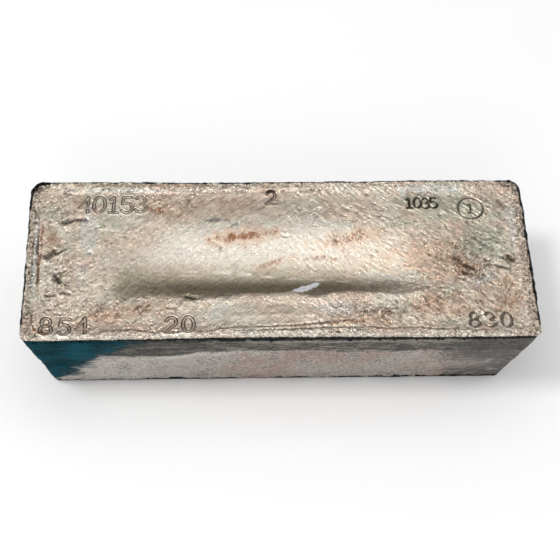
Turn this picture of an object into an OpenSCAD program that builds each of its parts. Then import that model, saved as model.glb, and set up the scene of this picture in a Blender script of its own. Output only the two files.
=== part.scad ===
// Refined silver ingot, poured into an open iron mould and left to freeze.
// One casting: four drafted walls and a flat base that the mould shaped, and an
// open face on top with the rim that froze first and the trough that sank last.
// Millimetres. Z is up, X runs along the bar, and the origin is the middle of the base.

/* [Bar] */
// Length at the widest, over the rim
bar_l = 335; // [250:1:350]
// Width at the widest, over the rim
bar_w = 124; // [110:1:150]
// Height from the base to the rim
bar_h = 83.5; // [60:0.5:100]
// Draft of the front and back walls, in degrees from upright
side_draft = 10.5; // [5:0.5:15]
// Draft of the two end walls, in degrees from upright
end_draft = 9; // [5:0.5:15]
// Plan radius of the two front corners, at the rim
front_corner_r = 5; // [4:0.5:12]
// Plan radius of the two back corners, at the rim
back_corner_r = 8.5; // [4:0.5:12]
// Plan radius of the four corners, at the base
base_corner_r = 3.5; // [3:0.5:8]
// Radius where the walls turn under to the base
base_r = 1.5; // [1:0.25:2.5]
// Height of that turn that the flat base cuts away
base_trim = 0.3; // [0.2:0.05:0.5]

/* [Rim] */
// Radius over the outer edge of the rim
rim_r = 2; // [1:0.25:3]
// Width of the rim, which froze first against the mould
rim_w = 5; // [3:0.5:8]
// Drop from the rim to the field inside it
rim_drop = 1.3; // [0.4:0.1:2.5]
// Width of the slope from the rim down to the field
rim_slope_w = 4; // [2:0.5:8]

/* [Shrinkage trough] */
// Length of the trough along the bar
trough_l = 226; // [120:1:280]
// Width of its long slope, from its lowest line to the back
trough_back_w = 48; // [25:1:60]
// Width of its short slope, from its lowest line to the front
trough_front_w = 15; // [10:1:30]
// Depth of its lowest line under the field
trough_depth = 6.5; // [2:0.5:12]
// Middle of the trough along the bar
trough_x = -4; // [-20:1:20]
// Lowest line of the trough across the bar
trough_y = -16; // [-25:1:10]

/* [Frozen waves] */
// Height of the slow waves in the open face, either side of level
wave_h = 0.9; // [0:0.1:1.5]
// Length of a wave along the bar
wave_l = 310; // [150:5:400]
// Length of a wave across the bar
wave_w = 277; // [150:1:400]
// Turn of the waves at the middle of the bar, in degrees
wave_turn = 22; // [0:1:90]

/* [Hidden] */

// Size of a cell of the open face along the bar, across it, and in its corners
cell_l = 7.25;
cell_w = 3.375;
corner_cell = 2;
corner_cells = round(max(front_corner_r, back_corner_r) / corner_cell);
cells_x = round((bar_l - 2 * back_corner_r) / cell_l) + 2 * corner_cells;
cells_y = round((bar_w - front_corner_r - back_corner_r) / cell_w) + 2 * corner_cells;
// Cells round the edge of the rim and round the edge of the base
edge_cells = 4;

half_l = bar_l / 2;
half_w = bar_w / 2;
// Height of the block that trims the base flat
overrun = 5;

// Inset of a plain wall of one draft at a height, from the widest outline
function wall_inset(z, draft) = rim_r - rim_r / cos(draft) + (rim_centre_z - z) * tan(draft);

// Centres of the two edge rounds: height, and insets from the widest outline at the ends and at the sides
drafts = [end_draft, side_draft];
rim_centre_z = bar_h - rim_r;
rim_centre_in = [rim_r, rim_r];
base_centre_z = base_r - base_trim;
base_centre_in = [for (draft = drafts) wall_inset(base_centre_z, draft) + base_r / cos(draft)];

// A ring round the casting at one turn of an edge round: insets at the ends and at the sides, loss of
// corner radius, height
function edge_ring(centre_in, centre_z, r, turn) =
    let (z = centre_z + r * sin(turn), insets = [for (inset = centre_in) inset - r * cos(turn)])
    [insets, insets[1] - wall_inset(z, side_draft), z];

face_ring = edge_ring(rim_centre_in, rim_centre_z, rim_r, 90);
rim_rings = [
    for (k = [1:edge_cells])
        edge_ring(rim_centre_in, rim_centre_z, rim_r, 90 - (90 + side_draft) * k / edge_cells)
];
base_rings = [
    for (k = [0:edge_cells])
        edge_ring(base_centre_in, base_centre_z, base_r, -side_draft - (90 - side_draft) * k / edge_cells)
];
rings = concat(rim_rings, base_rings);

function mix(a, b, share) = a + (b - a) * share;

// Share of the way that grid line i is between the finer cells of the two corners of a side
function between_corners(i, cells) = min(1, max(0, (i - corner_cells) / (cells - 2 * corner_cells)));

// Place of grid line i along one side of a ring, with finer cells in its corners of radius r0 and r1
function station(i, cells, half, r0, r1) =
    i < corner_cells ? r0 * i / corner_cells - half
    : i > cells - corner_cells ? half - r1 * (cells - i) / corner_cells
    : mix(r0 - half, half - r1, between_corners(i, cells));

// Bends the grid's square corner to a round one of radius r
function round_corner(x, y, hl, hw, r) =
    let (dx = abs(x) - hl + r, dy = abs(y) - hw + r)
    dx <= 0 || dy <= 0 ? [x, y]
    : let (pull = max(dx, dy) / norm([dx, dy]))
      [sign(x) * (hl - r + dx * pull), sign(y) * (hw - r + dy * pull)];

// Plan place of grid point i, j on a ring, whose corners narrow from the rim to the base
function plan_point(i, j, ring) =
    let (
        hl = half_l - ring[0][0],
        hw = half_w - ring[0][1],
        front_r = mix(base_corner_r, front_corner_r, ring[2] / bar_h) - ring[1],
        back_r = mix(base_corner_r, back_corner_r, ring[2] / bar_h) - ring[1],
        row_r = mix(front_r, back_r, between_corners(j, cells_y)),
        x = station(i, cells_x, hl, row_r, row_r),
        y = station(j, cells_y, hw, front_r, back_r)
    )
    round_corner(x, y, hl, hw, y < 0 ? front_r : back_r);

function smooth(t) = let (s = min(1, max(0, t))) s * s * (3 - 2 * s);

// Distance of a plan place inside the widest outline
function outline_inset(p) =
    let (
        r = p[1] < 0 ? front_corner_r : back_corner_r,
        dx = abs(p[0]) - half_l + r,
        dy = abs(p[1]) - half_w + r
    )
    r - norm([max(dx, 0), max(dy, 0)]) - min(max(dx, dy), 0);

function wave(p) = wave_h * sin(360 * (p[0] / wave_l - p[1] / wave_w) + wave_turn);

// Share of the trough's depth along and across the bar
function trough_along(x) = let (u = min(1, abs(x - trough_x) / (trough_l / 2))) pow(1 - pow(u, 4), 2);
function trough_across(y) =
    let (v = (y - trough_y) / (y > trough_y ? trough_back_w : trough_front_w))
    (1 + cos(180 * min(1, abs(v)))) / 2;

// Height of the open face: the rim, the field sunk inside it, and the trough
function face_height(p) =
    bar_h + wave(p)
    - rim_drop * smooth((outline_inset(p) - rim_w) / rim_slope_w)
    - trough_depth * trough_along(p[0]) * trough_across(p[1]);

// Grid points round the border of the open face, anticlockwise from above
border = concat(
    [for (i = [0:cells_x - 1]) [i, 0]],
    [for (j = [0:cells_y - 1]) [cells_x, j]],
    [for (i = [cells_x:-1:1]) [i, cells_y]],
    [for (j = [cells_y:-1:1]) [0, j]]
);
border_count = len(border);
face_count = (cells_x + 1) * (cells_y + 1);

face_points = [
    for (j = [0:cells_y], i = [0:cells_x])
        let (p = plan_point(i, j, face_ring))
        [p[0], p[1], face_height(p)]
];

// The rim's rings follow the waves less and less on their way down to the wall
function wave_share(k) = max(0, 1 - (k + 1) / edge_cells);
ring_points = [
    for (k = [0:len(rings) - 1], b = border)
        let (p = plan_point(b[0], b[1], rings[k]))
        [p[0], p[1], rings[k][2] + wave_share(k) * wave(p)]
];

// Index of a point of the open face, and of point n of ring k, where ring -1 is the face's border
function face_index(i, j) = j * (cells_x + 1) + i;
function ring_index(k, n) =
    let (m = n % border_count)
    k < 0 ? face_index(border[m][0], border[m][1]) : face_count + k * border_count + m;

face_quads = [
    for (j = [0:cells_y - 1], i = [0:cells_x - 1])
        [face_index(i, j), face_index(i, j + 1), face_index(i + 1, j + 1), face_index(i + 1, j)]
];
wall_quads = [
    for (k = [-1:len(rings) - 2], n = [0:border_count - 1])
        [ring_index(k, n), ring_index(k, n + 1), ring_index(k + 1, n + 1), ring_index(k + 1, n)]
];
base_polygon = [for (n = [0:border_count - 1]) ring_index(len(rings) - 1, n)];
triangles = [
    for (q = concat(face_quads, wall_quads), t = [[q[0], q[1], q[2]], [q[0], q[2], q[3]]]) t
];

// The casting as it leaves the mould, before its base is dressed
module casting() {
    polyhedron(points = concat(face_points, ring_points), faces = concat(triangles, [base_polygon]));
}

// Everything below the level that the bar stands on
module below_base() {
    translate([-half_l, -half_w, -overrun])
        cube([bar_l, bar_w, overrun]);
}

module ingot() {
    color("#c3b7a4")
        difference() {
            casting();
            below_base();
        }
}

ingot();
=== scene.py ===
import math
import random

import bmesh
import bpy
import numpy as np
from mathutils import Matrix, Vector, noise
from mathutils.bvhtree import BVHTree


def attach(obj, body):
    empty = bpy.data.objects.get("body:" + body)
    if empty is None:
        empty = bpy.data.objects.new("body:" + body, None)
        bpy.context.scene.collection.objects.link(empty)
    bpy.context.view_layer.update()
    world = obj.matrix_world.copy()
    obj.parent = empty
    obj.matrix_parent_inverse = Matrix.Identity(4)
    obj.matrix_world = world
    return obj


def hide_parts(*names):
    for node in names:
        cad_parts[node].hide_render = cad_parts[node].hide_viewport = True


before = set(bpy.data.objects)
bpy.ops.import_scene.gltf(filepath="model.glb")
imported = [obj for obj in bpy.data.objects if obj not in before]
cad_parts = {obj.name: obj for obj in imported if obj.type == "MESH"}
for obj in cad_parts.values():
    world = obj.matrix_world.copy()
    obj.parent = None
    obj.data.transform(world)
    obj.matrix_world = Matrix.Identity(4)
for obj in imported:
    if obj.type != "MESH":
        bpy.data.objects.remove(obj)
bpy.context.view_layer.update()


# Form of the casting
# One bar of refined silver, poured into an open iron mould and frozen there. This skin follows the packed
# solid: a grid over the open face, a rolled rim, and rings down the drafted walls to the dressed base.
MM = 0.001
face_cell = 1.5
wall_cell = 2.4
facet_blur = 1.6
rim_r = 2.0
rim_steps = 4
base_round_z = (1.6, 0.9, 0.4, 0.1, 0.0)
base_margin = 4.0
# Rays that feel the solid start this far above it, miss its middle by this much and run no lower than this
ray_above = 10.0
ray_off_middle = 0.3
ray_lowest = 0.02

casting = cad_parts["ingot"]
solid_points = np.array([v.co for v in casting.data.vertices]) / MM
solid = BVHTree.FromPolygons(solid_points.tolist(), [list(p.vertices) for p in casting.data.polygons])
half_l, half_w, top_z = solid_points.max(0).tolist()


def stations(half, r0, r1, cells):
    """Grid lines along one side of a ring, with even cells in its corners of radius r0 and r1."""
    turn = np.arange(corner_cells) / corner_cells
    between = np.linspace(r0 - half, half - r1, cells + 1)
    return np.concatenate([r0 * turn - half, between, (half - r1 * turn)[::-1]])


def rounded(x, y, hl, hw, r):
    """Bends the square corners of a grid to round ones of radius r."""
    dx, dy = np.abs(x) - hl + r, np.abs(y) - hw + r
    corner = (dx > 0) & (dy > 0)
    pull = np.where(corner, np.maximum(dx, dy) / np.maximum(np.hypot(dx, dy), 1e-9), 1)
    bent_x = np.where(corner, np.sign(x) * (hl - r + dx * pull), x)
    bent_y = np.where(corner, np.sign(y) * (hw - r + dy * pull), y)
    return bent_x, bent_y


def ring_grid(hl, hw, front_r, back_r):
    """Plan grid of the open face's cells, fitted to a rectangle with round corners."""
    row_y = stations(hw, front_r, back_r, cells_y)
    row_r = np.interp(row_y, (front_r - hw, hw - back_r), (front_r, back_r))
    x = np.array([stations(hl, r, r, cells_x) for r in row_r])
    y = np.repeat(row_y[:, None], x.shape[1], axis=1)
    return rounded(x, y, hl, hw, np.where(y < 0, front_r, back_r))


def ring_points(hl, hw, front_r, back_r, heights):
    """Points round the border of such a grid, at one height or at a height each."""
    x, y = ring_grid(hl, hw, front_r, back_r)
    heights = np.broadcast_to(heights, len(border))
    return np.column_stack([x[border_j, border_i], y[border_j, border_i], heights])


def soften(heights, spread):
    """Blurs a grid of heights by a bell of that spread in cells, which hides the solid's own facets."""
    span = int(3 * spread)
    weights = np.exp(-0.5 * (np.arange(-span, span + 1) / spread) ** 2)
    weights /= weights.sum()
    for axis in (0, 1):
        padded = np.pad(heights, [(span, span) if a == axis else (0, 0) for a in (0, 1)], mode="edge")
        heights = np.apply_along_axis(np.convolve, axis, padded, weights, mode="valid")
    return heights


def wall_reach(z):
    """Half length, half width, and front and back corner radius of the solid at a height."""
    z = max(z, ray_lowest)
    hl = solid.ray_cast(Vector((2 * half_l, ray_off_middle, z)), Vector((-1, 0, 0)))[0].x
    hw = solid.ray_cast(Vector((ray_off_middle, 2 * half_w, z)), Vector((0, -1, 0)))[0].y
    radii = []
    for side in (-1, 1):
        diagonal = Vector((1, side, 0)).normalized()
        cut_off = solid.ray_cast(Vector((hl, side * hw, z)) + half_w * diagonal, -diagonal)[3] - half_w
        radii.append(cut_off / (math.sqrt(2) - 1))
    return hl, hw, *radii


_, _, front_r, back_r = wall_reach(top_z - 2 * rim_r)
corner_cells = round(back_r / face_cell)
cells_x = round(2 * (half_l - back_r) / face_cell)
cells_y = round((2 * half_w - front_r - back_r) / face_cell)
face_x, face_y = ring_grid(half_l - rim_r, half_w - rim_r, front_r - rim_r, back_r - rim_r)
face_z = np.array([
    solid.ray_cast(Vector((x, y, top_z + ray_above)), Vector((0, 0, -1)))[0].z
    for x, y in zip(face_x.ravel().tolist(), face_y.ravel().tolist())
]).reshape(face_x.shape)
face_z = soften(face_z, facet_blur)

rows, columns = face_x.shape
border = (
    [(0, i) for i in range(columns - 1)]
    + [(j, columns - 1) for j in range(rows - 1)]
    + [(rows - 1, i) for i in range(columns - 1, 0, -1)]
    + [(j, 0) for j in range(rows - 1, 0, -1)]
)
border_j, border_i = np.array(border).T
border_z = face_z[border_j, border_i]
wall_top = border_z.min() - rim_r

points = [np.column_stack([face_x.ravel(), face_y.ravel(), face_z.ravel()])]
rim_l, rim_w, front_r, back_r = wall_reach(wall_top)
for step in range(1, rim_steps + 1):
    turn = math.pi / 2 * (1 - step / rim_steps)
    inset = rim_r * (1 - math.cos(turn))
    heights = wall_top + (border_z - wall_top) * math.sin(turn)
    points.append(ring_points(rim_l - inset, rim_w - inset, front_r - inset, back_r - inset, heights))
wall_steps = round((wall_top - base_round_z[0]) / wall_cell)
wall_z = np.linspace(wall_top, base_round_z[0], wall_steps + 1)[1:].tolist() + list(base_round_z[1:])
for z in wall_z:
    hl, hw, *radii = wall_reach(z)
    points.append(ring_points(hl, hw, *radii, z))
points.append(ring_points(hl - base_margin, hw - base_margin, *radii, 0.0))

faces = [
    (j * columns + i, j * columns + i + 1, (j + 1) * columns + i + 1, (j + 1) * columns + i)
    for j in range(rows - 1) for i in range(columns - 1)
]
ring_of = [border_j * columns + border_i]
for k in range(len(points) - 1):
    ring_of.append(rows * columns + k * len(border) + np.arange(len(border)))
following = np.roll(np.arange(len(border)), -1)
for upper, lower in zip(ring_of, ring_of[1:]):
    faces += np.column_stack([upper, lower, lower[following], upper[following]]).tolist()
faces.append(ring_of[-1][::-1].tolist())

mesh = bpy.data.meshes.new("ingot_skin")
mesh.from_pydata(np.vstack(points).tolist(), [], faces)
ingot = bpy.data.objects.new("ingot_skin", mesh)
bpy.context.scene.collection.objects.link(ingot)


# Numbers punched into the open face
# Single steel punches, struck by hand along the rim: rows of digits by the corners, a digit by itself
# and a ring with one in it. Each blow leaves a groove with a raised lip, a little off line and off depth.
def arc(cx, cy, rx, ry, start, end, steps=14):
    """A stroke along part of an ellipse, between two angles in degrees."""
    angles = np.radians(np.linspace(start, end, steps))
    return np.column_stack([cx + rx * np.cos(angles), cy + ry * np.sin(angles)])


def line(*corners):
    """A stroke through some points."""
    return np.array(corners, float)


# Strokes of each digit, for a height of 1
digit_strokes = {
    "0": [arc(0.3, 0.5, 0.3, 0.5, 0, 360, 28)],
    "1": [line((0.12, 0.82), (0.32, 1), (0.32, 0)), line((0.1, 0), (0.54, 0))],
    "2": [np.vstack([arc(0.3, 0.71, 0.28, 0.29, 165, -35), line((0, 0), (0.6, 0))])],
    "3": [np.vstack([arc(0.27, 0.75, 0.25, 0.25, 150, -80), arc(0.28, 0.26, 0.3, 0.26, 85, -155)])],
    "4": [line((0.45, 0), (0.45, 1), (0, 0.3), (0.62, 0.3))],
    "5": [np.vstack([line((0.54, 1), (0.1, 1), (0.06, 0.55)), arc(0.28, 0.32, 0.3, 0.32, 125, -150)])],
    "8": [arc(0.3, 0.76, 0.23, 0.24, 0, 360, 24), arc(0.3, 0.27, 0.3, 0.27, 0, 360, 28)],
}
# Digits, left edge, foot, height, pitch, half width of the groove and its depth
number_rows = [
    ("40153", -134.5, 37.5, 12.5, 9.4, 1.1, 0.9),
    ("2", -8.0, 44.0, 10.0, 0.0, 1.1, 0.9),
    ("1035", 86.8, 38.8, 8.4, 5.7, 0.8, 0.9),
    ("854", -155.0, -57.4, 12.0, 11.6, 1.2, 1.0),
    ("20", -75.0, -57.6, 11.6, 11.2, 1.2, 1.0),
    ("830", 121.5, -55.0, 11.0, 10.4, 0.9, 0.9),
    ("1", 128.6, 34.6, 7.6, 0.0, 0.6, 0.7),
]
# Middle of the ring, its radius, half width of the groove and its depth
ring_stamp = (131.2, 38.4, 8.6, 0.6, 0.7)
# How far a blow strays: its tilt in degrees, its slip up or down, and its depth as a share
most_tilt = 3
most_slip = 0.4
blow_range = (0.8, 1.15)

blows = random.Random(7)
punched = []
for digits, left_x, foot, tall, pitch, half_groove, depth in number_rows:
    for position, digit in enumerate(digits):
        tilt = math.radians(blows.uniform(-most_tilt, most_tilt))
        turn = np.array([[math.cos(tilt), math.sin(tilt)], [-math.sin(tilt), math.cos(tilt)]])
        start = (left_x + position * pitch, foot + blows.uniform(-most_slip, most_slip))
        blow_depth = depth * blows.uniform(*blow_range)
        for stroke in digit_strokes[digit]:
            punched.append((stroke * tall @ turn + start, half_groove, blow_depth))
stamp_x, stamp_y, stamp_r, half_groove, depth = ring_stamp
punched.append((arc(stamp_x, stamp_y, stamp_r, stamp_r, 0, 360, 48), half_groove, depth))


# Relief that freezing left
# The rim froze first and folded against the mould, ripples fanned out from the middle, the trough's front
# edge stayed up as a ragged shelf, and gas and tools left pits and dents. Sizes are millimetres.
wrinkle_h = 0.85
lump_h = 0.3
rim_rough_h = 0.55
shelf_h = 0.8
wall_rough_h = 0.36
lap_h = 0.25
lip_out = 0.5
under_lip_depth = 1.0
base_chip_depth = 1.2
# Height of the lip round a groove and a dent, and depth of a pit, as shares of the depth or the radius
punch_lip = 0.25
dent_lip = 0.3
pit_depth = 0.6
# Share of the ripples that a blow flattens round it
flattened = 0.7

# Two ends, half width and depth of each dent and crack
dents = [
    ((-144.7, 29.0), (-137.0, 31.2), 1.7, 1.0), ((-137.0, 31.2), (-130.0, 31.6), 1.3, 0.9),
    ((-154.2, 1.8), (-149.4, 6.4), 1.8, 1.2), ((-148.6, 3.8), (-142.2, 7.4), 0.9, 0.8),
    ((-148.2, -12.0), (-144.4, -18.0), 1.2, 1.1), ((-148.2, -12.0), (-140.5, -9.0), 0.9, 0.7),
    ((-143.2, -26.2), (-137.3, -27.0), 0.9, 0.8), ((-152.7, -28.4), (-147.0, -27.7), 0.9, 0.9),
    ((-125.2, 22.8), (-120.7, 26.0), 0.6, 0.5), ((-61.8, -30.0), (-56.3, -31.4), 1.5, 0.8),
    ((-73.4, -38.3), (-68.4, -38.6), 0.9, 0.5), ((94.6, -34.5), (96.3, -37.6), 0.7, 0.7),
    ((102.8, -31.5), (106.6, -33.1), 0.9, 0.5), ((127.5, -34.0), (129.0, -40.0), 0.6, 0.5),
    ((129.0, -40.0), (128.9, -46.0), 0.6, 0.5), ((138.2, -6.6), (146.8, -8.0), 0.7, 0.9),
    ((146.8, -8.0), (152.6, -10.0), 0.8, 1.0), ((152.8, -0.8), (155.6, -3.0), 2.2, 0.8),
    ((115.5, -1.5), (121.0, -4.5), 1.2, 0.7), ((122.0, -6.8), (128.5, -10.0), 1.3, 0.9),
    ((121.0, -12.5), (127.0, -14.5), 1.1, 0.7), ((116.0, -17.0), (120.0, -18.0), 0.9, 0.5),
    ((137.0, 9.0), (140.0, 8.0), 1.0, 0.5), ((2.0, 17.6), (5.0, 17.4), 0.8, 0.4),
    ((157.0, 13.0), (153.0, -12.0), 0.8, 0.4),
]
# Points along each thin scratch
scratches = [
    line((-66, -11), (-50, -9.8), (-34, -9.5), (-8, -12.2), (20, -14.6), (60, -18.2)),
    line((-70, -8.6), (-48, -6.8), (-20, -9.4)),
    line((-124.6, 23.6), (-101.1, 21.2)),
]
# Gas pits are few in the open field, and more to the right and along the rim
pit_tries = 620
few = 0.12
smallest_pit = 0.4
pit_range = 0.8
gas = random.Random(11)
pits = []
for _ in range(pit_tries):
    at = np.array([gas.uniform(-1, 1) * half_l, gas.uniform(-1, 1) * half_w])
    pit_r = smallest_pit + pit_range * gas.random() ** 3
    more = max(0.0, at[0] / half_l - 0.3, (abs(at[1]) - 42) / 20, (-at[0] - 145) / 20)
    if gas.random() < few + (1 - few) * more:
        pits.append((at, pit_r))


def outline_inset(x, y):
    """Distance of a plan point inside the bar's widest outline."""
    r = np.where(y < 0, front_r, back_r)
    dx, dy = np.abs(x) - half_l + r, np.abs(y) - half_w + r
    return r - np.hypot(np.maximum(dx, 0), np.maximum(dy, 0)) - np.minimum(np.maximum(dx, dy), 0)


def stroke_distance(plan, stroke):
    """Distance of each plan point from a stroke's line."""
    a, run = stroke[:-1], np.diff(stroke, axis=0)
    part = ((plan[:, None] - a) * run).sum(2) / np.maximum((run ** 2).sum(1), 1e-9)
    nearest = a + np.clip(part, 0, 1)[:, :, None] * run
    return np.linalg.norm(plan[:, None] - nearest, axis=2).min(1)


def box_round(plan, stroke, reach):
    """Indices of the plan points in the box round a stroke, widened by a reach."""
    return np.flatnonzero(((plan > stroke.min(0) - reach) & (plan < stroke.max(0) + reach)).all(1))


def near_strokes(plan, strokes, reach):
    """True for each plan point within reach of one of some strokes."""
    near = np.zeros(len(plan), bool)
    for stroke in strokes:
        index = box_round(plan, stroke, reach)
        near[index[stroke_distance(plan[index], stroke) < reach]] = True
    return near


def refine(wanted):
    """Halves the cells of the open face that a test of their centres picks."""
    centres = np.array([f.calc_center_median() for f in cells.faces])
    picked = wanted(centres) & (centres[:, 2] > wall_top - 1)
    chosen = dict.fromkeys(edge for face, pick in zip(cells.faces, picked) if pick for edge in face.edges)
    bmesh.ops.subdivide_edges(cells, edges=list(chosen), cuts=1, use_grid_fill=True)


# The cells are halved along the rim and near marks, and once more close to a groove or a scratch
rim_band = 11.0
near_groove = 3.0
near_mark = 2.4
close_to_groove = 1.9
close_to_scratch = 0.9
strokes = [stroke for stroke, _, _ in punched]
marks = [line(start, end) for start, end, _, _ in dents] + [line(at, at) for at, _ in pits]
cells = bmesh.new()
cells.from_mesh(mesh)
refine(lambda c: (outline_inset(c[:, 0], c[:, 1]) < rim_band)
       | near_strokes(c[:, :2], strokes + scratches, near_groove)
       | near_strokes(c[:, :2], marks, near_mark))
refine(lambda c: near_strokes(c[:, :2], strokes, close_to_groove)
       | near_strokes(c[:, :2], scratches, close_to_scratch))
bmesh.ops.triangulate(cells, faces=cells.faces[:])
cells.to_mesh(mesh)
cells.free()

base = np.array([v.co for v in mesh.vertices])
normals = np.array([n.vector for n in mesh.vertex_normals])
x, y, z = base.T
plan = base[:, :2]
inset = outline_inset(x, y)


def smooth(t):
    """Share from 0 to 1 with eased ends."""
    t = np.clip(t, 0, 1)
    return t * t * (3 - 2 * t)


def rise(v, start, run):
    """Share that grows from 0 at a start to 1 over a run."""
    return smooth((v - start) / run)


def fall(v, end, run):
    """Share that drops to 0 at an end, from 1 a run before it."""
    return smooth((end - v) / run)


def bell(d, spread):
    """Share that drops from 1 at no distance, over a spread."""
    return np.exp(-(d / spread) ** 2)


def oval(u, v, middle, halves):
    """Distance from the middle of an oval, as a share of its half sizes."""
    return np.hypot((u - middle[0]) / halves[0], (v - middle[1]) / halves[1])


def turned(dx, dy, angle):
    """An offset's parts along and across a direction, in degrees from the bar's length."""
    c, s = math.cos(math.radians(angle)), math.sin(math.radians(angle))
    return dx * c + dy * s, dy * c - dx * s


def rough(places, size, octaves=3):
    """Even noise about 0, with lumps of that size."""
    return np.array([noise.fractal(p, 1.0, 2.0, octaves) for p in (places / size).tolist()])


def wrinkles(angle, length, width):
    """Sharp furrows drawn out along a direction on the open face."""
    along, across = turned(x, y, angle)
    drawn_out = np.column_stack([along / length, across / width, np.full(len(x), angle)])
    return 2 * np.abs(rough(drawn_out, 1.0, 2)) - 0.5


# Shares of the skin that face up and that stand as walls, and noise that makes edges ragged
open_face = rise(normals[:, 2], 0.15, 0.6)
wall = (1 - open_face) * rise(z, 0.05, 1.5)
ragged_2mm = rough(base, 2.4)
ragged_5mm = rough(base, 5.0)
ragged_14mm = rough(base, 14.0)
lumpy = np.maximum(0, ragged_5mm)


def blots(*ovals, ragged=0.55):
    """The strongest of some ragged ovals: middle, half length, half width, angle and strength of each."""
    shares = np.zeros(len(x))
    for cx, cy, half_long, half_wide, angle, strength in ovals:
        along, across = turned(x - cx, y - cy, angle)
        away = np.hypot(along / half_long, across / half_wide)
        shares = np.maximum(shares, strength * smooth(1.5 - away + ragged * ragged_5mm))
    return shares * open_face


# Each groove by its half widths: a flat floor, steep sides, a lip, and the skin that the blow flattened
punch_grooves = np.zeros(len(x))
groove_sides = np.zeros(len(x))
lips = np.zeros(len(x))
struck = np.zeros(len(x))
for stroke, half_groove, depth in punched:
    near = box_round(plan, stroke, 5 * half_groove)
    away = stroke_distance(plan[near], stroke) / half_groove
    punch_grooves[near] = np.minimum(punch_grooves[near], -depth * (1 - rise(away, 0.5, 0.5)))
    groove_sides[near] = np.maximum(groove_sides[near], bell(away - 0.85, 0.26))
    lips[near] = np.maximum(lips[near], punch_lip * depth * bell(away - 1.5, 0.45))
    struck[near] = np.maximum(struck[near], 1 - rise(away, 1.5, 2.5))

# Ripples fan out to both sides at an angle, and are this long and wide
fan_angle = 40
ripple_l = 20
ripple_w = 2.6
trough_middle = (-4, 2)
trough_halves = (112, 34)
trough = fall(oval(x, y, trough_middle, trough_halves), 1.05, 0.35)
from_left = 1 - rise(x, -40, 90)
wrinkled = (1 - trough) * 0.3 + blots(
    (-116, -40, 28, 8, 10, 0.9), (-142, -8, 12, 20, 0, 0.8), (-80, 43, 26, 8, 0, 0.6),
    (126, -6, 20, 24, 0, 0.7), (30, 36, 38, 9, 0, 0.45), (60, -42, 40, 7, 0, 0.7),
    (-150, 38, 10, 14, 0, 0.5), (140, 30, 16, 20, 0, 0.4), (120, -34, 24, 12, 0, 0.6),
    (-152, -30, 8, 16, 0, 0.6))
ripples = from_left * wrinkles(fan_angle, ripple_l, ripple_w)
ripples += (1 - from_left) * wrinkles(-fan_angle, ripple_l, ripple_w)
relief = open_face * wrinkle_h * wrinkled * ripples
relief += open_face * (1 - 0.7 * trough) * lump_h * ragged_14mm
relief *= 1 - flattened * struck

left = fall(x, -152, 5)
right = rise(x, 146, 10)
on_rim = fall(inset, 8.5 + 1.5 * ragged_14mm, 3) * (0.55 + 0.45 * np.maximum(left, right))
relief += open_face * on_rim * (1 - flattened * struck) * rim_rough_h * ragged_2mm

# Folds of the front, left and back rims: the ways along and across the rim, the sign outward, and for each
# fold the points on its crease and its depth
rim_folds = [
    (x, y, -1, [
        ([(-122, -57.2), (-112, -55.4), (-100, -54.4), (-87, -56.2), (-76, -59.2)], 0.5),
        ([(-50, -56.6), (-40, -55.1), (-28, -53.9), (-3, -53.5), (20, -51.9), (36, -49.8),
          (50, -48.5)], 0.6),
        ([(-25, -57.0), (1, -56.6), (28, -55.0), (55, -54.6), (70, -55.6), (88, -54.6), (99, -56.4),
          (122, -55.4)], 0.7),
        ([(28, -47.4), (46, -46.6)], 0.4),
        ([(-36, -43.5), (-18, -43.3), (5, -43.0), (18, -43.8)], 0.3),
    ]),
    (y, x, -1, [
        ([(-56, -156), (-50, -160.2), (-31, -160.6), (-17, -158.6), (2, -159.4), (12, -159.8),
          (36, -160.5)], 0.85),
        ([(-46, -163.2), (-10, -162.6), (20, -163.0), (44, -163.0)], 0.55),
    ]),
    (x, y, 1, [
        ([(-149, 52.3), (-139, 51.2), (-116, 55.7), (-91, 52.4), (-53, 51.7)], 0.65),
        ([(-67, 54.3), (-20, 53.6), (29, 54.8)], 0.6),
        ([(88, 52.0), (104, 53.4), (124, 55.0)], 0.5),
    ]),
]
creased = np.zeros(len(x))
for along, across, outward, folds in rim_folds:
    for crease_points, depth in folds:
        at, crease = np.array(crease_points).T
        off = outward * (across - np.interp(along, at, crease)) - 0.6 * ragged_14mm - 0.25 * ragged_5mm
        present = rise(along, at[0], 5) * fall(along, at[-1], 5) * smooth(0.75 + 0.9 * ragged_14mm)
        creased = np.maximum(creased, present * depth * bell(off, 0.6))
        relief += open_face * present * depth * (0.9 * bell(off - 1.7, 1.3) - bell(off, 0.55))

# Points along the shelf's ragged edge
shelf_edge = line(
    (-70, -35), (-58, -33.4), (-50, -31.6), (-34, -30.6), (-23, -27.9), (-10, -28.5), (1, -27.4),
    (8, -26.4), (15, -29.8), (23, -31.2), (34, -27.9), (46, -26.2), (59, -27.4), (76, -29.3),
    (86, -27.5), (98, -24.7), (110, -22))
before_shelf = np.interp(x, *shelf_edge.T) + 0.5 * ragged_5mm - y
shelf_part = rise(x, -68, 14) * fall(x, 106, 18)
shelf_top = smooth(before_shelf / 1.4 + 0.5) * (1 - smooth(before_shelf / 9))
relief += open_face * shelf_part * shelf_h * shelf_top

grooves = np.zeros(len(x))
uneven = 1 + 0.5 * rough(base, 3.0, 2)
for start, end, half_dent, depth in dents:
    away = stroke_distance(plan, line(start, end)) * uneven
    grooves = np.minimum(grooves, -depth * bell(away, half_dent))
    lips = np.maximum(lips, dent_lip * depth * bell(away - 1.9 * half_dent, 0.7 * half_dent))
for at, pit_r in pits:
    near = box_round(plan, at[None], 3 * pit_r)
    away = np.linalg.norm(plan[near] - at, axis=1)
    grooves[near] = np.minimum(grooves[near], -pit_depth * pit_r * bell(away, pit_r))
sunk = np.minimum(grooves, punch_grooves)
relief += open_face * (sunk + lips * (sunk > -0.05))

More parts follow.
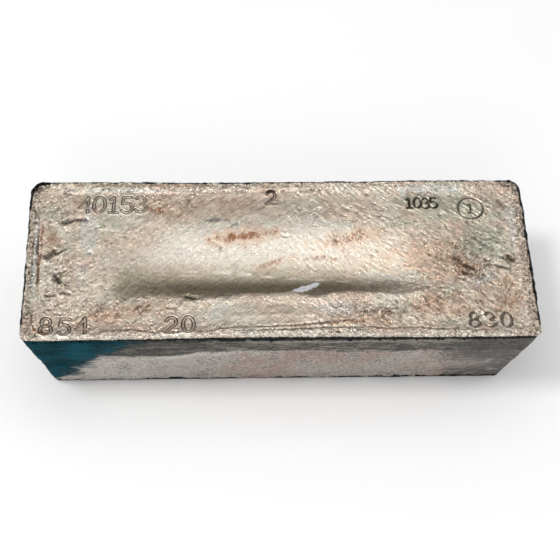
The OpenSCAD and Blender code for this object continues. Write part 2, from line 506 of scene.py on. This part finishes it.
# The lap is where the pour paused, by points along the front wall
lap_line = line(
    (-140, 52), (-106, 48.6), (-86, 48), (-66, 51.4), (-33, 58.4), (13, 57), (53, 54), (93, 55),
    (153, 54))
lap_z = np.interp(x, *lap_line.T) + 2.5 * rough(base * (1, 1, 0), 12) + 1.5 * ragged_5mm
under_lip = bell(z - wall_top + 1.8, 1.7) * (0.6 + 0.5 * ragged_14mm)
drawn_level = rough(base / (4, 4, 1), 3.2)
relief += wall * wall_rough_h * (1.5 * ragged_14mm + drawn_level + 0.5 * rough(base, 2.6, 2))
relief += wall * lap_h * smooth((z - lap_z) / 2.5 + 0.5)
relief -= wall * under_lip_depth * under_lip
relief -= wall * base_chip_depth * bell(z, 3.0) * lumpy
relief += lip_out * bell(inset, 2.2) * smooth(z - wall_top + 0.5) * (0.4 + 1.2 * lumpy)
mesh.vertices.foreach_set("co", ((base + normals * relief[:, None]) * MM).ravel())


# Tarnish, stains, grime and painted light
# Sulphide and painted shade darken the trough's front slope, copper has bled out in streaks, and the rest
# is blotched with pale, green and brown bloom, with painted shade and highlights in places. Each is a
# share at every point of the skin, for the finish below.
trough_ends = rise(x, -118, 16) * fall(x, 112, 40)
sharp_front = smooth(0.5 - before_shelf / 1.2)
soft_front = smooth((y + 36 + 3 * ragged_14mm) / 9)
sharp_part = rise(x, -62, 10)
# Sulphide on the trough's front slope, with painted shade that darkens it further
sulphide_and_shade = trough_ends * smooth((9 - y + 3 * ragged_14mm) / 34) ** 0.8
sulphide_and_shade *= sharp_part * sharp_front + (1 - sharp_part) * soft_front
paint = {
    "sulphide_and_shade": open_face * sulphide_and_shade * (1 - 0.5 * rise(x, 30, 40)),
    "copper": blots(
        (-24, 18, 19, 3.1, 6, 0.74), (47, 15, 19, 5, 14, 0.5), (28, 1, 16, 2.2, 2, 0.5),
        (-7, -2, 16, 1.8, 22, 0.55), (44, -51, 15, 2.0, 4, 0.6), (62, -43, 18, 5, 0, 0.4),
        (124, -8, 14, 8, -33, 0.5), (98, 0, 18, 14, -20, 0.25), (-158.5, -14, 1.4, 12, 0, 0.8),
        (-158, 14, 1.0, 20, 0, 0.65), (-151, 17, 3.5, 6, 0, 0.45), (-84, 40, 8, 3, -15, 0.5),
        (-33, 46, 26, 7, -6, 0.3), (84, 36, 6, 5, -40, 0.35), (-152, -57, 8, 2.2, -20, 0.65),
        (150, -30, 10, 16, 10, 0.45), (-100, -42, 20, 4, 12, 0.35), (10, -55, 26, 2.5, 3, 0.4),
        (100, -36, 20, 8, 0, 0.25)),
    "peach": blots(
        (-24, 18, 26, 8, 6, 0.95), (47, 15, 28, 9, 14, 0.7), (58, 3, 30, 8, 4, 0.5),
        (-7, -4, 22, 5, 20, 0.6), (104, -2, 26, 16, -16, 1.0), (-95, 12, 16, 14, 0, 0.5),
        (-60, 40, 40, 10, -4, 0.6), (-100, -42, 30, 7, 10, 0.7), (52, -48, 30, 5, 3, 0.6),
        (110, -38, 30, 10, 0, 0.8), (150, -30, 12, 20, 10, 0.6), (-150, 12, 5, 16, 0, 0.6),
        (90, 34, 12, 7, -40, 0.5), (-135, 40, 20, 8, 0, 0.4), (30, 46, 40, 7, 0, 0.3)),
    # Pale bloom, and along the back rim a band that is a painted highlight on its ridge
    "pale": blots(
        (-127, 20, 6, 18, 4, 0.9), (-131, -12, 5, 14, 8, 0.55), (136, -18, 11, 4, 25, 0.75),
        (103, 54.5, 22, 3.6, 0, 1.0), (34, -40, 20, 6, 0, 0.7), (62, -42, 18, 5, 0, 0.5),
        (64, -13, 17, 2.2, -8, 0.7), (-152, -35, 7, 10, 0, 0.5), (-44, -44, 12, 7, 30, 0.6),
        (-148, -10, 4, 8, 0, 0.5), (-161.6, 0, 1.5, 34, 0, 0.95), (-96, 54.5, 44, 1.4, 0, 0.8),
        (30, 30, 16, 5, -8, 0.4), (157, 20, 4, 26, 0, 0.6), (158, -40, 4, 16, 0, 0.5)),
    "green": blots(
        (118, 38, 40, 12, -8, 0.9), (136, 12, 18, 16, -20, 0.9), (-150, 36, 10, 9, 0, 0.7),
        (-114, 30, 14, 7, 0, 0.6), (120, -50, 26, 6, 0, 0.6), (4, 46, 16, 8, 0, 0.5),
        (-145, 6, 10, 4, 0, 0.6), (-6, -42, 36, 6, 0, 0.45), (100, 24, 24, 8, -10, 0.5),
        (36, 44, 30, 6, 0, 0.4), (-62, -20, 40, 8, 0, 0.35)),
    "brown": blots(
        (-152, 20, 5, 8, 0, 0.5), (151, 41, 5, 5, 0, 0.8), (154, -2, 5, 4, 0, 0.9),
        (-44, 44, 46, 6, -4, 0.4), (125, -10, 9, 4, -33, 0.25), (-59, -31, 5, 2, 0, 0.9),
        (70, -24, 36, 3.5, -3, 0.6), (140, -46, 8, 6, 0, 0.5), (-134, 48, 20, 4, 0, 0.4),
        (40, -25, 30, 4, 0, 0.4), (-90, 58.6, 60, 1.7, 0, 0.7), (-150, 26, 7, 12, 0, 0.35)),
    # Clean silver on the trough's far slope, brightened as a painted highlight
    "clean_and_highlight": open_face * trough * rise(y, -16, 20) * fall(x, 90, 60),
    "scuff": blots(
        (-44, 30.5, 11, 1.7, -2, 1.0), (-30, 27, 4, 1.2, 20, 1.0), (-40, 9, 2, 1.6, 60, 0.9), ragged=0.9),
}

# A flake of bright dross on the trough's front edge, which tapers to one end
flake_x, flake_y = 17, -22.5
flake_half_l, flake_half_w, flake_taper = 9, 3.0, 0.16
flake_cos, flake_sin = 0.9, 0.44
flake_dx, flake_dy = x - flake_x, y - flake_y
flake_u = flake_dx * flake_cos + flake_dy * flake_sin
flake_v = flake_dy * flake_cos - flake_dx * flake_sin
flake_edge = np.hypot(flake_u / flake_half_l, flake_v / (flake_half_w - flake_taper * flake_u))
flake_edge += 0.4 * ragged_5mm
paint["flake"] = open_face * fall(flake_edge, 1.1, 0.15)

# Dirt and painted shade in grooves, dents and fold creases; in the punched grooves it is darkest in the
# back right row, and less in its ring and the other rows
dark_strokes = np.maximum.reduce([
    rise(x, 80, 4) * (1 - 0.35 * rise(x, 112, 4)) * rise(y, 26, 4),
    0.5 * bell(np.hypot(x + 5, y - 48), 9),
    0.55 * rise(x, 112, 6) * fall(y, -38, 4),
    0.18 * fall(x, -60, 6) + 0.12 * fall(x, -30, 6),
])
paint["grime_and_shade"] = open_face * np.clip(
    0.95 * groove_sides + smooth(-punch_grooves / 0.5) * (0.22 + 0.78 * dark_strokes)
    + 0.85 * smooth(-grooves / 0.7) + 1.3 * creased, 0, 1)
scratched = np.minimum.reduce([stroke_distance(plan, path) for path in scratches])
paint["scratch"] = open_face * bell(scratched, 0.6)
# Painted shade in the furrows of the ripples and a painted highlight on their ridges
rippled = open_face * np.clip(wrinkled, 0, 1) * (1 - struck)
paint["furrow_shade"] = rippled * fall(ripples, -0.1, 0.4)
paint["ridge_highlight"] = rippled * rise(ripples, 0.1, 0.5)
paint["speck"] = np.clip(0.13 + 0.16 * on_rim + 0.06 * right - 0.06 * trough, 0, 1) * (1 - struck)

# Black crust over the left, right and back rims; a painted shadow under the front one; and crust and
# painted contact shade along the base
not_front = 1 - fall(y, -50, 8)
front_wall = fall(y, -25, 20)
back_left = bell(np.hypot(x + 163, y - 58), 10)
back_right = bell(np.hypot(x - 161, y - 57), 8)
crust_w = 1.5 + ragged_5mm + 0.9 * np.maximum(right, rise(y, 50, 6)) + 2 * back_left + back_right
over_rim = not_front * smooth(crust_w - inset) * smooth(z - wall_top + 0.8)
# Under the front lip the black is a painted shadow of its overhang
black_w = 0.5 + front_wall * (2.5 + 1.5 * rise(x, -60, 50)) + 2.0 * ragged_5mm + 1.6 * ragged_2mm
under_rim = smooth((z - wall_top + black_w) / 1.2) * fall(normals[:, 2], 0.55, 0.3)
wide_base_band = np.maximum(bell(x + 78, 26), rise(x, 50, 30))
base_w = (0.3 + 0.7 * front_wall) * (2.7 + 1.8 * wide_base_band)
base_w += 2.4 * ragged_5mm + 1.5 * ragged_14mm + 1.2 * ragged_2mm
paint["crust_and_shade"] = np.maximum.reduce([over_rim, under_rim, fall(z, base_w, 1.5)])

# Mould skin of the walls: a dark band above the lap, a dull right end and a blue-green front left corner
on_wall = fall(normals[:, 2], 0.3, 0.3)
below_lap = 1 - smooth((z - lap_z) / 4)
light_patch = bell(oval(x, z, (125, 30), (18, 12)), 1)
pale_corner = bell(oval(x, z, (-110, 10), (18, 10)), 1)
teal_top_x, teal_top_z, teal_lean = -94.6, 75.7, 0.742
teal_x = teal_top_x - teal_lean * (teal_top_z - z)
paint["wall"] = on_wall
paint["upper_wall"] = on_wall * smooth((z - lap_z) / 10 + 0.5) * (0.71 + 0.14 * fall(x, -20, 50))
paint["wall_streak"] = on_wall * bell(z - 75 - 2 * ragged_14mm, 2.2) * rise(x, -60, 60)
paint["dull_end"] = on_wall * smooth((x - 95 + 10 * ragged_14mm) / 30) * (1 - 0.45 * light_patch)
paint["teal"] = on_wall * smooth((teal_x - x + 9 * ragged_14mm) / 34 + 0.5)
paint["teal"] *= smooth((22 - y + 0.4 * (z - 40) + 16 * ragged_14mm + 5 * ragged_5mm) / 70)
paint["wall_speck"] = on_wall * (0.3 + 0.25 * ragged_14mm)
paint["wall_light"] = on_wall * below_lap * (
    0.5 + 0.3 * fall(x, 30, 160) + 0.3 * fall(x, -80, 30) + 0.5 * ragged_14mm + 0.3 * light_patch)
paint["wall_bloom"] = on_wall * below_lap * (
    0.3 + 0.2 * ragged_14mm + 0.6 * bell(z - lap_z + 4, 3) * bell(x + 60, 45) + 0.4 * pale_corner)
paint["wall_dark"] = on_wall * (0.4 + 0.5 * ragged_14mm)
paint["wall_pink"] = on_wall * smooth(0.5 + 0.9 * rough(base + 70, 55, 2)) * below_lap
paint["teal_light"] = paint["teal"] * (
    0.35 + 0.35 * ragged_14mm + 0.4 * bell(oval(x, z, (-122, 60), (24, 16)), 1))

# Soot and dullness of the rim, a painted highlight along the front lip, and how rough and how hatched
# the skin is
paint["sooty"] = np.maximum.reduce([
    0.75 * back_left, 0.5 * back_right, 0.3 * on_rim * np.maximum(left, right) * open_face])
paint["rim_dark"] = open_face * on_rim * 0.4
paint["lip_highlight"] = fall(y, -50, 6) * bell(inset - 1.8, 2.2) * smooth((z - wall_top) / 1.5)
smooth_field = blots(
    (118, 36, 30, 13, -6, 1), (-14, -44, 40, 8, 0, 0.9), (-95, 30, 22, 8, 0, 0.8),
    (60, 42, 40, 9, 0, 0.8), (-30, 42, 60, 10, 0, 0.8), (-136, 12, 14, 26, 0, 0.35))
paint["rough_skin"] = (1 - 0.4 * trough) * (1 - 0.75 * struck) * (1 - 0.7 * smooth_field) * np.clip(
    0.4 + 0.55 * on_rim + 0.45 * wrinkled + 0.15 * rise(x, 60, 40) + 0.25 * on_wall, 0, 1.2)
paint["hatched"] = open_face * (1 - 0.6 * struck) * (0.6 - 0.2 * trough)
paint["from_left"] = from_left
for name, values in paint.items():
    mesh.attributes.new(name, "FLOAT", "POINT").data.foreach_set("value", values.astype(np.float32))
mesh.polygons.foreach_set("use_smooth", np.ones(len(mesh.polygons), bool))
mesh.update()


# Finish of the bar
# Refined silver as it froze in air: a satin metal, warm white where it is clean, with the stains and
# painted light above on its open face. The walls froze against dressed iron, which left a dull grey skin
# with a dark upper band.
def linear(colour):
    """Linear colour of an sRGB hex value."""
    parts = [int(colour[i:i + 2], 16) / 255 for i in (1, 3, 5)]
    return [p / 12.92 if p <= 0.04045 else ((p + 0.055) / 1.055) ** 2.4 for p in parts] + [1]


def add(kind, inputs=None, **settings):
    """Adds a node to the tree in hand, with its settings, values and links."""
    made = tree.nodes.new(kind)
    for name, value in settings.items():
        setattr(made, name, value)
    for socket, value in (inputs or {}).items():
        if isinstance(value, bpy.types.NodeSocket):
            tree.links.new(value, made.inputs[socket])
        else:
            made.inputs[socket].default_value = value
    return made


# Sockets of a mix node: its factor, two numbers or two colours, and the mixed colour
FACTOR, NUMBER_A, NUMBER_B, COLOUR_A, COLOUR_B, MIXED = 0, 2, 3, 6, 7, 2

silver = bpy.data.materials.new("open_cast_silver")
silver.use_nodes = True
tree = silver.node_tree
tree.nodes.clear()
place = add("ShaderNodeTexCoord").outputs["Object"]
share = {name: add("ShaderNodeAttribute", attribute_name=name).outputs["Fac"] for name in paint}

# Sizes along x, y and z in millimetres, and turn in degrees, of each pattern of the skin. Real grain and
# drag marks are finer than the picture can show, so the finest patterns are drawn coarser.
skin_patterns = {
    "cloud": (22, 22, 22, 0), "mottle": (4.5, 4.5, 4.5, 0), "coarse": (2.6, 2.6, 2.6, 0),
    "pebble": (1.7, 1.7, 1.7, 0), "grain": (1.3, 1.3, 1.3, 0), "left_hatch": (7, 1.5, 1.5, 42),
    "right_hatch": (7, 1.5, 1.5, -38), "strokes": (5, 0.9, 0.9, 72), "cast_grain": (1.6, 1.6, 1.1, 0),
    "wall_drag": (9, 9, 1.6, 0),
}
# Span of the noise that a pattern stretches to run from 0 to 1
noise_least, noise_most = 0.33, 0.67
pattern = {}
for name, (*sizes, turn) in skin_patterns.items():
    laid = add("ShaderNodeMapping", {"Vector": place, "Rotation": (0, 0, math.radians(turn)),
                                     "Scale": [size * MM for size in sizes]}, vector_type="TEXTURE")
    flecks = add("ShaderNodeTexNoise", {"Vector": laid.outputs[0], "Scale": 1.0, "Detail": 4,
                                        "Roughness": 0.6})
    pattern[name] = add("ShaderNodeMapRange", {"Value": flecks.outputs["Fac"], "From Min": noise_least,
                                               "From Max": noise_most}).outputs[0]
pattern["hatch"] = add("ShaderNodeMix", {FACTOR: share["from_left"], NUMBER_A: pattern["right_hatch"],
                                         NUMBER_B: pattern["left_hatch"]}, data_type="FLOAT").outputs[0]

blush, cream = linear("#cfb8a6"), linear("#d3ccbb")
colour = add("ShaderNodeMix", {FACTOR: pattern["cloud"], COLOUR_A: blush, COLOUR_B: cream},
             data_type="RGBA").outputs[MIXED]
# Stain or painted light, its colour, its strongest share, and the pattern that breaks up its edge and by
# how much
# Of these, the trough's front slope, the furrows, the grooves and the black under the front lip and along
# the base also carry painted shade, and the trough's far slope, the ridges, the front lip and a band on
# the back rim carry painted highlights
stains = [
    ("clean_and_highlight", "#d1cbbf", 0.8, "mottle", 0.4), ("green", "#aeb09e", 0.75, "mottle", 0.5),
    ("peach", "#c8a287", 0.5, "mottle", 0.7), ("pale", "#d0d2cf", 0.6, "hatch", 0.9),
    ("furrow_shade", "#6c5a48", 0.75, "grain", 0.6), ("ridge_highlight", "#dcd4c5", 0.6, "grain", 0.6),
    ("brown", "#85705c", 0.7, "mottle", 0.5), ("copper", "#83502c", 0.88, "strokes", 1.8),
    ("sulphide_and_shade", "#938a73", 0.84, "mottle", 0.3), ("scuff", "#85827d", 0.95, "grain", 0.3),
    ("rim_dark", "#5d5348", 0.7, "grain", 1.1), ("lip_highlight", "#d6cfc4", 0.55, "mottle", 1.0),
    ("scratch", "#e9e2d3", 0.75, "hatch", 0.5), ("speck", "#4d4034", 0.7, "grain", 2.0),
    ("flake", "#d6d8df", 1.0, "grain", 0.1), ("grime_and_shade", "#211c17", 0.92, "grain", 0.3),
    ("wall", "#b0a8a2", 1.0, "grain", 0.1), ("wall_pink", "#ab948b", 0.85, "wall_drag", 0.9),
    ("wall_light", "#cdc7c0", 0.7, "mottle", 0.6), ("wall_dark", "#6d6863", 0.5, "wall_drag", 0.9),
    ("upper_wall", "#32322c", 0.9, "wall_drag", 1.2), ("wall_streak", "#a19a93", 0.9, "wall_drag", 0.8),
    ("dull_end", "#585450", 0.92, "wall_drag", 0.6), ("wall_speck", "#47423d", 0.8, "cast_grain", 1.6),
    ("wall_bloom", "#d3cec8", 0.75, "wall_drag", 1.5), ("teal", "#10363f", 1.0, "wall_drag", 1.2),
    ("teal_light", "#1b5a69", 0.85, "wall_drag", 1.3), ("sooty", "#3a332b", 0.85, "grain", 1.6),
    ("crust_and_shade", "#0f0e0d", 0.97, "grain", 0.9),
]
# Span over which an unbroken stain fades in
edge_fade = 1.3
for name, stain_colour, most, broken_by, ragged in stains:
    broken = add("ShaderNodeMath", {0: pattern[broken_by], 1: -ragged / (1 + ragged), 2: share[name]},
                 operation="MULTIPLY_ADD")
    shown = add("ShaderNodeMapRange", {"Value": broken.outputs[0], "From Max": edge_fade / (1 + ragged),
                                       "To Max": most}, interpolation_type="SMOOTHSTEP")
    colour = add("ShaderNodeMix", {FACTOR: shown.outputs[0], COLOUR_A: colour,
                                   COLOUR_B: linear(stain_colour)}, data_type="RGBA").outputs[MIXED]

# Fine relief, too small for the mesh: lumps and hatching, whose hollows are a little darker
grain_depth = 0.36
hollow_shade = 0.65
broad = add("ShaderNodeMix", {FACTOR: share["wall"], NUMBER_A: pattern["coarse"],
                              NUMBER_B: pattern["cast_grain"]}, data_type="FLOAT")
lumps = add("ShaderNodeMath", {0: pattern["pebble"], 1: broad.outputs[0]}, operation="ADD")
lumps = add("ShaderNodeMath", {0: lumps.outputs[0], 1: 1.0}, operation="SUBTRACT")
lumps = add("ShaderNodeMath", {0: lumps.outputs[0], 1: share["rough_skin"]}, operation="MULTIPLY")
hatching = add("ShaderNodeMath", {0: pattern["hatch"], 1: 0.5}, operation="SUBTRACT")
height = add("ShaderNodeMath", {0: hatching.outputs[0], 1: share["hatched"], 2: lumps.outputs[0]},
             operation="MULTIPLY_ADD")
shade = add("ShaderNodeMath", {0: height.outputs[0], 1: hollow_shade, 2: 1.0}, operation="MULTIPLY_ADD")
colour = add("ShaderNodeMix", {FACTOR: 1.0, COLOUR_A: colour, COLOUR_B: shade.outputs[0]},
             data_type="RGBA", blend_type="MULTIPLY").outputs[MIXED]

# The open face is satin metal, the walls are dull under a thin oxide skin, and the flake is hardly metal
satin_least, satin_most = 0.22, 0.36
wall_roughness = 0.6
wall_oxide = 0.35
least_metal = 0.1
satin = add("ShaderNodeMapRange", {"Value": pattern["mottle"], "To Min": satin_least,
                                   "To Max": satin_most})
dull = add("ShaderNodeMix", {FACTOR: share["wall"], NUMBER_A: satin.outputs[0], NUMBER_B: wall_roughness},
           data_type="FLOAT")
glazed = add("ShaderNodeMath", {0: share["teal"], 1: share["crust_and_shade"]}, operation="MAXIMUM")
bare = add("ShaderNodeMath", {0: share["wall"], 1: glazed.outputs[0]}, operation="SUBTRACT",
           use_clamp=True)
coated = add("ShaderNodeMath", {0: bare.outputs[0], 1: wall_oxide, 2: share["flake"]},
             operation="MULTIPLY_ADD")
metal = add("ShaderNodeMapRange", {"Value": coated.outputs[0], "To Min": 1.0, "To Max": least_metal})
edge_tint = add("ShaderNodeMix", {FACTOR: glazed.outputs[0], COLOUR_A: linear("#ffffff"),
                                  COLOUR_B: linear("#c8d4d8")}, data_type="RGBA").outputs[MIXED]
bump = add("ShaderNodeBump", {"Strength": 1.0, "Distance": grain_depth * MM, "Height": height.outputs[0]})
shader = add("ShaderNodeBsdfPrincipled", {
    "Base Color": colour, "Metallic": metal.outputs[0], "Roughness": dull.outputs[0],
    "Specular Tint": edge_tint, "Normal": bump.outputs[0]})
add("ShaderNodeOutputMaterial", {"Surface": shader.outputs[0]})
mesh.materials.append(silver)
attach(ingot, "root")
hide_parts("ingot")


# Floor
# A plain white studio floor that carries on past the picture, so that it is the background too. A little
# of what the camera and the metal see of it is plain white, and the rest keeps the bar's shadow.
floor_half = 4.0
floor_z = -0.0002
plain_share = 0.05
floor_corners = [
    (sx * floor_half, sy * floor_half, floor_z) for sx, sy in ((-1, -1), (1, -1), (1, 1), (-1, 1))]
floor_mesh = bpy.data.meshes.new("floor")
floor_mesh.from_pydata(floor_corners, [], [(0, 1, 2, 3)])
floor = bpy.data.objects.new("floor", floor_mesh)
bpy.context.scene.collection.objects.link(floor)
paper = bpy.data.materials.new("white_paper")
paper.use_nodes = True
tree = paper.node_tree
tree.nodes.clear()
ray = add("ShaderNodeLightPath").outputs
seen = add("ShaderNodeMath", {0: ray["Is Camera Ray"], 1: ray["Is Glossy Ray"]}, operation="MAXIMUM")
seen = add("ShaderNodeMath", {0: seen.outputs[0], 1: ray["Is Transmission Ray"]}, operation="MAXIMUM")
plain = add("ShaderNodeMath", {0: seen.outputs[0], 1: plain_share}, operation="MULTIPLY")
sheet = add("ShaderNodeBsdfDiffuse", {"Color": linear("#ffffff")})
white = add("ShaderNodeEmission", {"Color": (1, 1, 1, 1), "Strength": 1.0})
mixed = add("ShaderNodeMixShader", {0: plain.outputs[0], 1: sheet.outputs[0], 2: white.outputs[0]})
add("ShaderNodeOutputMaterial", {"Surface": mixed.outputs[0]})
floor_mesh.materials.append(paper)


# Studio light
# A key light from high on the left, which keeps the bar's shadow close to it, fills from the front, the
# right and overhead, and a soft sky that darkens towards the horizon.
def softbox(name, at, wide, deep, watts):
    """A lamp of that size in metres, aimed at the bar."""
    lamp = bpy.data.lights.new(name, "AREA")
    lamp.shape = "RECTANGLE"
    lamp.size = wide
    lamp.size_y = deep
    lamp.energy = watts
    holder = bpy.data.objects.new(name, lamp)
    holder.location = at
    holder.rotation_euler = (-Vector(at)).to_track_quat("-Z", "Y").to_euler()
    bpy.context.scene.collection.objects.link(holder)


softbox("overhead", (-0.15, 0.1, 1.5), 1.2, 0.8, 3.4)
softbox("front_fill", (-0.3, -2.6, 1.9), 1.2, 1.0, 10.8)
softbox("left_key", (-1.3, -0.3, 2.8), 0.6, 0.6, 30.0)
softbox("right_fill", (2.0, 0.2, 2.2), 1.2, 1.0, 6.0)

sky_low, sky_high = 0.22, 0.62
sky_top = 0.95
world = bpy.data.worlds.new("studio")
bpy.context.scene.world = world
world.use_nodes = True
tree = world.node_tree
tree.nodes.clear()
sky_z = add("ShaderNodeSeparateXYZ", {0: add("ShaderNodeTexCoord").outputs["Generated"]}).outputs[2]
sky = add("ShaderNodeMapRange", {"Value": sky_z, "From Min": 0.0, "From Max": sky_top, "To Min": sky_low,
                                 "To Max": sky_high}, interpolation_type="SMOOTHSTEP")
backdrop = add("ShaderNodeBackground", {"Color": (1, 1, 1, 1), "Strength": sky.outputs[0]})
add("ShaderNodeOutputWorld", {"Surface": backdrop.outputs[0]})


# Camera
# A long lens above the front of the bar, a little to its left and a little off level.
azimuth, elevation, roll = (math.radians(a) for a in (-4.878, 57.398, 3.686))
distance, sideways, above = 0.95281, 0.0027, 0.02885
lens, sensor = 85.6, 36
level = Vector((math.cos(azimuth), math.sin(azimuth), 0))
forward = Vector((-math.sin(azimuth), math.cos(azimuth), 0))
back = -forward * math.cos(elevation) + Vector((0, 0, math.sin(elevation)))
upright = back.cross(level)
right_hand = level * math.cos(roll) + upright * math.sin(roll)
up = upright * math.cos(roll) - level * math.sin(roll)
camera = bpy.data.objects.new("camera", bpy.data.cameras.new("camera"))
camera.data.sensor_width = sensor
camera.data.lens = lens
eye = back * distance + right_hand * sideways + up * above
camera.matrix_world = Matrix.Translation(eye) @ Matrix((right_hand, up, back)).transposed().to_4x4()
bpy.context.scene.collection.objects.link(camera)
bpy.context.scene.camera = camera
bpy.context.scene.view_settings.view_transform = "Standard"
